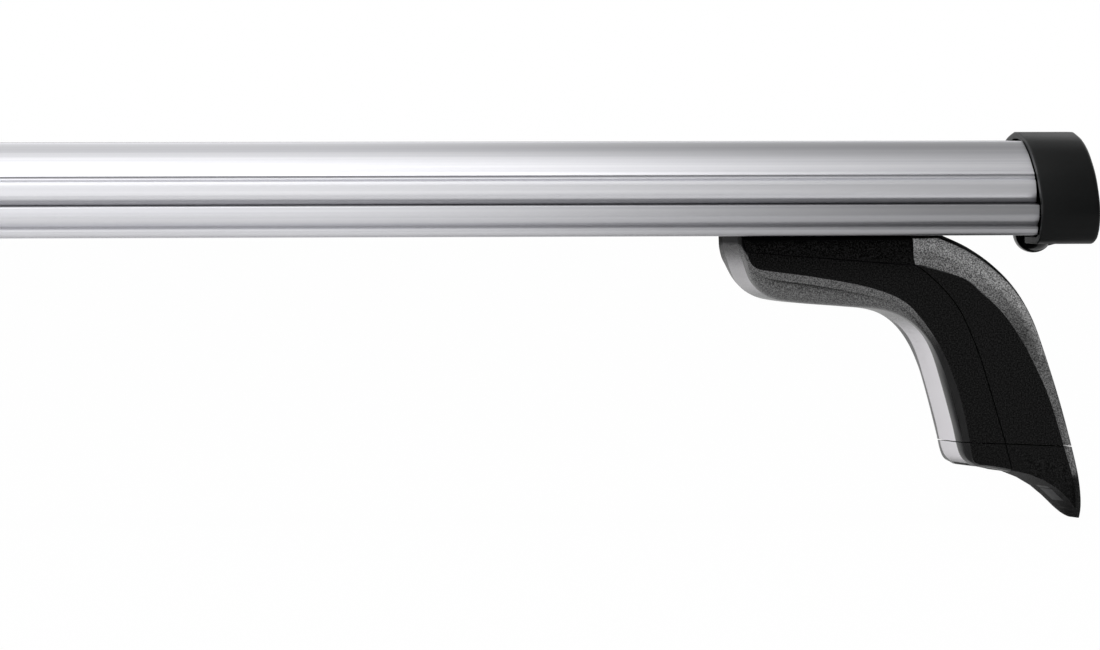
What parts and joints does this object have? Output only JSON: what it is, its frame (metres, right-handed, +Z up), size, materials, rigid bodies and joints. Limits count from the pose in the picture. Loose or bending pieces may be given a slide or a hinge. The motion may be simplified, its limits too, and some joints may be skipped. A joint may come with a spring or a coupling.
{
  "type": "roof rack crossbar",
  "caption": "Aluminium roof rack crossbar with a wing section, hinged black end caps and moulded feet that clamp to a vehicle roof.",
  "frame": {"origin": "on the ground under the middle of the bar, level with the tips of the feet", "axes": "+X along the bar, +Y in the vehicle's travel direction, +Z up"},
  "size_m": [1.1808, 0.0824, 0.1408],
  "materials": {
    "bar_aluminium": "satin anodised, drawn along the bar",
    "strip_rubber": "smooth extruded rubber",
    "cap_plastic": "fine satin texture",
    "dome_plastic": "glossy",
    "housing_plastic": "grained faces, smooth inner side",
    "cover_plastic": "coarse grain",
    "rubber": "ribbed",
    "coated_steel": "black coated sheet steel",
    "steel": "zinc plated",
    "chrome": "plated"
  },
  "bodies": {
    "rack": {"bar_profile": "bar_aluminium", "slot_strip": "strip_rubber", "cap_hinge_right": "dome_plastic", "cap_pin_right": "steel", "end_screws_right": "steel", "foot_housing_right": "housing_plastic", "foot_shoe_right": "housing_plastic", "roof_pad_right": "rubber", "foot_frame_right": "coated_steel", "bar_nuts_right": "steel", "bar_bolts_right": "steel", "screw_seat_right": "steel", "cap_hinge_left": "dome_plastic", "cap_pin_left": "steel", "end_screws_left": "steel", "foot_housing_left": "housing_plastic", "foot_shoe_left": "housing_plastic", "roof_pad_left": "rubber", "foot_frame_left": "coated_steel", "bar_nuts_left": "steel", "bar_bolts_left": "steel", "screw_seat_left": "steel"},
    "cap_right": {"end_cap_right": "cap_plastic"},
    "cover_right": {"foot_cover_right": "cover_plastic"},
    "lock_right": {"lock_barrel_right": "chrome", "lock_tongue_right": "steel"},
    "claw_right": {"clamp_claw_right": "coated_steel", "claw_cover_right": "cover_plastic", "claw_nut_right": "steel"},
    "screw_right": {"tension_screw_right": "steel"},
    "cap_left": {"end_cap_left": "cap_plastic"},
    "cover_left": {"foot_cover_left": "cover_plastic"},
    "lock_left": {"lock_barrel_left": "chrome", "lock_tongue_left": "steel"},
    "claw_left": {"clamp_claw_left": "coated_steel", "claw_cover_left": "cover_plastic", "claw_nut_left": "steel"},
    "screw_left": {"tension_screw_left": "steel"}
  },
  "joints": [
    {"name": "cap_hinge_right", "type": "hinge", "parent": "rack", "child": "cap_right", "pos_m": [0.5748, 0, 0.10075], "axis": [0, 1, 0], "range_deg": [0, 95]},
    {"name": "cover_slide_right", "type": "slide", "parent": "rack", "child": "cover_right", "axis": [0.9991, 0, -0.0425], "range_m": [0, 0.009]},
    {"name": "lock_turn_right", "type": "hinge", "parent": "cover_right", "child": "lock_right", "pos_m": [0.572, 0, 0.0541], "axis": [1, 0, 0], "range_deg": [0, 90]},
    {"name": "claw_slide_right", "type": "slide", "parent": "rack", "child": "claw_right", "axis": [0.2425, 0, -0.9701], "range_m": [0, 0.006]},
    {"name": "screw_turn_right", "type": "hinge", "parent": "rack", "child": "screw_right", "pos_m": [0.5565, 0, 0.0676], "axis": [-0.2425, 0, 0.9701], "range_deg": [0, 1728.1]},
    {"name": "cap_hinge_left", "type": "hinge", "parent": "rack", "child": "cap_left", "pos_m": [-0.5748, 0, 0.10075], "axis": [0, -1, 0], "range_deg": [0, 95]},
    {"name": "cover_slide_left", "type": "slide", "parent": "rack", "child": "cover_left", "axis": [-0.9991, 0, -0.0425], "range_m": [0, 0.009]},
    {"name": "lock_turn_left", "type": "hinge", "parent": "cover_left", "child": "lock_left", "pos_m": [-0.572, 0, 0.0541], "axis": [-1, 0, 0], "range_deg": [0, 90]},
    {"name": "claw_slide_left", "type": "slide", "parent": "rack", "child": "claw_left", "axis": [-0.2425, 0, -0.9701], "range_m": [0, 0.006]},
    {"name": "screw_turn_left", "type": "hinge", "parent": "rack", "child": "screw_left", "pos_m": [-0.5565, 0, 0.0676], "axis": [0.2425, 0, 0.9701], "range_deg": [0, 1728.1]}
  ],
  "couplings": [
    {"joint": "screw_turn_right", "follows": "claw_slide_right", "rad_per_m": 5026.5},
    {"joint": "screw_turn_left", "follows": "claw_slide_left", "rad_per_m": 5026.5}
  ]
}
